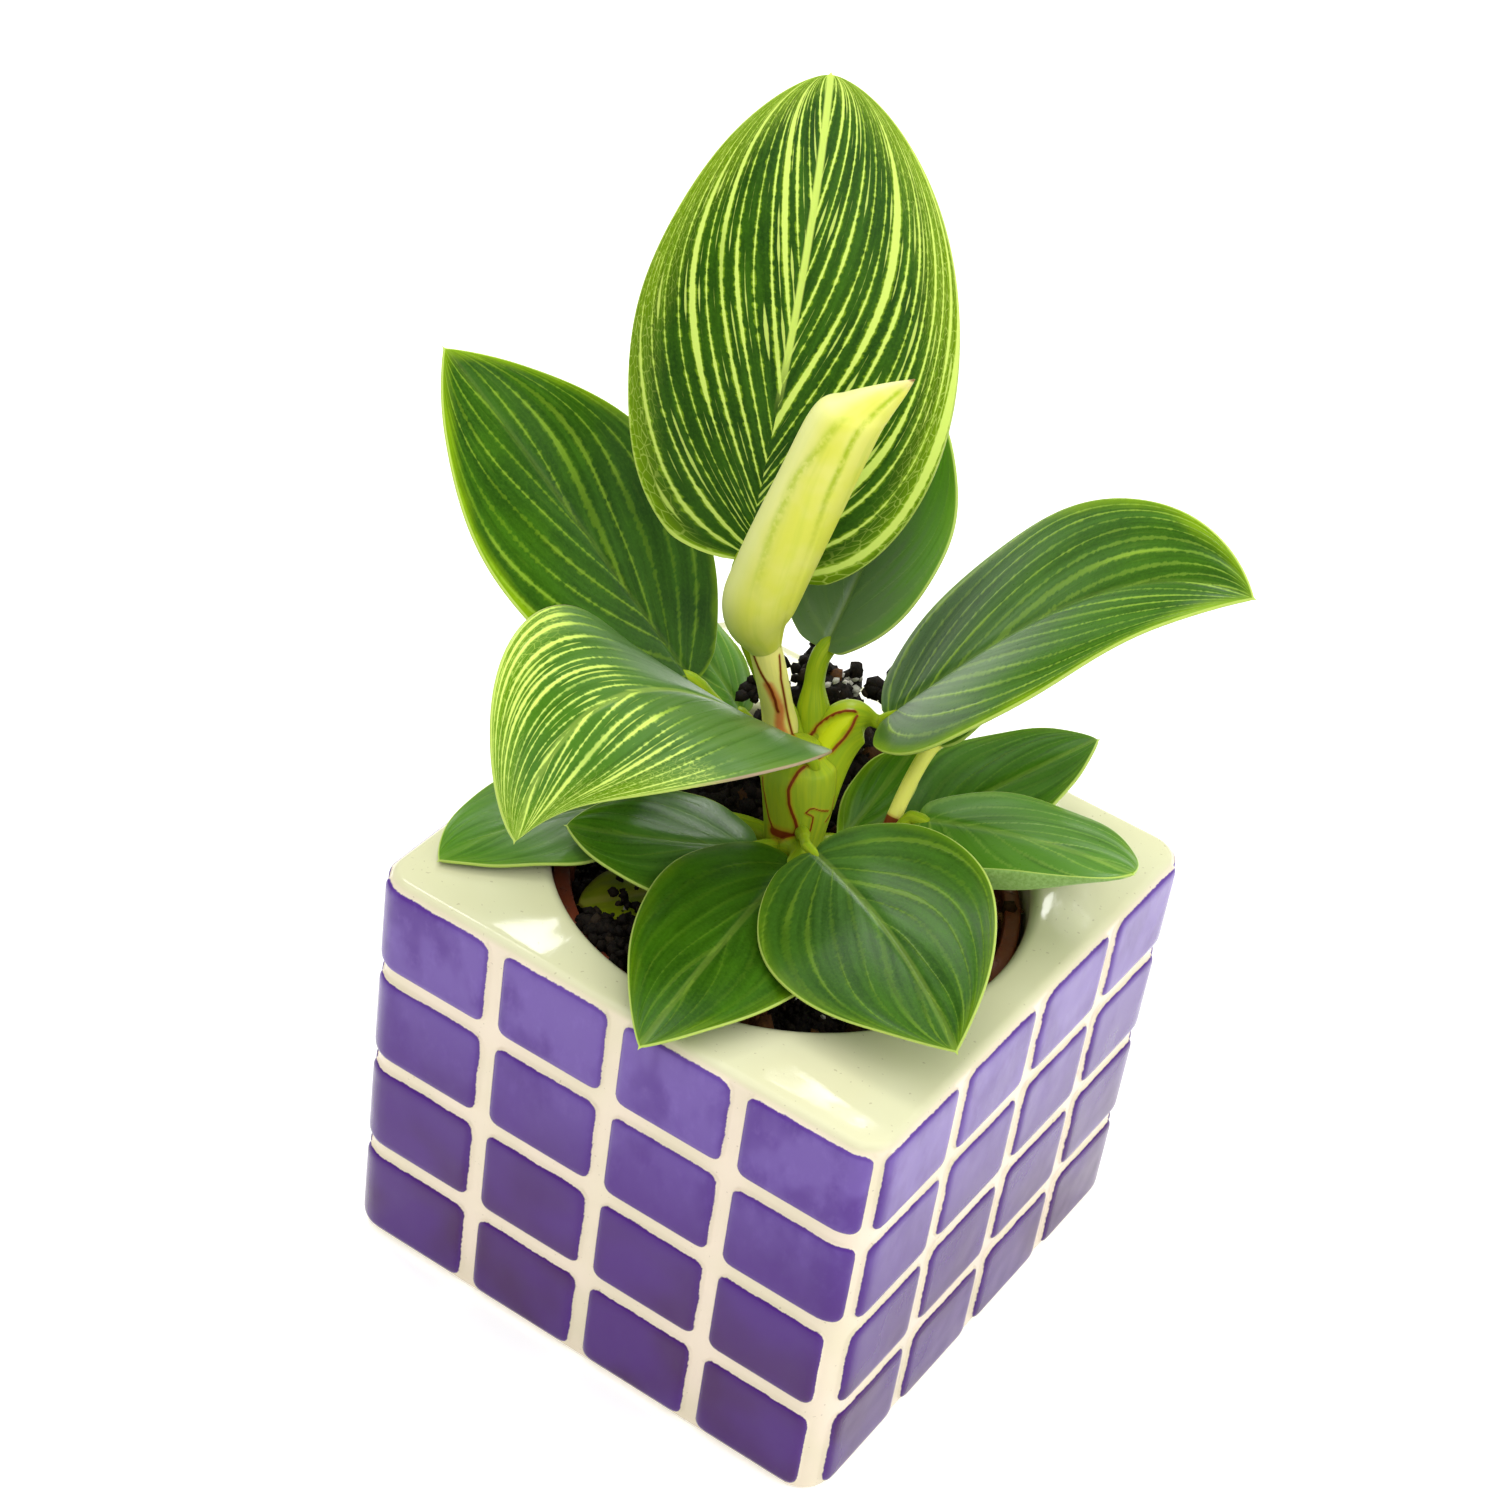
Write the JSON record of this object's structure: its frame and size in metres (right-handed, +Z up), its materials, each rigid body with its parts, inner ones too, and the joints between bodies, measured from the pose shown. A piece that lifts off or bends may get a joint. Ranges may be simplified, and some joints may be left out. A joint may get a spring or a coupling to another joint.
{
  "type": "philodendron birkin in a planter",
  "caption": "Young aroid house plant with broad pin-striped leaves and a furled new leaf, in a nursery pot inside a square tiled ceramic planter.",
  "frame": {"origin": "middle of the planter's flat underside", "axes": "+Z up; -Y and +X are the two planter faces nearest in the usual view"},
  "size_m": [0.1282, 0.0978, 0.1779],
  "materials": {
    "glaze": "glazed ceramic, ivory ground with purple tiles",
    "terracotta_plastic": "satin",
    "peat": "crumbly and matt",
    "stalk_green": "satin, fleshy",
    "yellow_stalk": "satin, fleshy",
    "leaf_green": "waxy leaf, pale stripes",
    "pale_leaf": "satin",
    "olive_leaf": "dull"
  },
  "bodies": {
    "root": {"planter": "glaze", "nursery_pot": "terracotta_plastic", "soil": "peat", "stem": "stalk_green", "leaf_01": "leaf_green", "leaf_02": "leaf_green", "leaf_03": "leaf_green", "leaf_04": "leaf_green", "leaf_05": "leaf_green", "leaf_06": "leaf_green", "leaf_07": "leaf_green", "leaf_08": "leaf_green", "leaf_09": "leaf_green", "leaf_10": "leaf_green", "leaf_11": "leaf_green", "leaf_12": "leaf_green", "leaf_13": "leaf_green", "leaf_14": "leaf_green", "stalk_14": "yellow_stalk", "new_leaf": "pale_leaf", "old_leaf": "olive_leaf"}
  },
  "joints": []
}
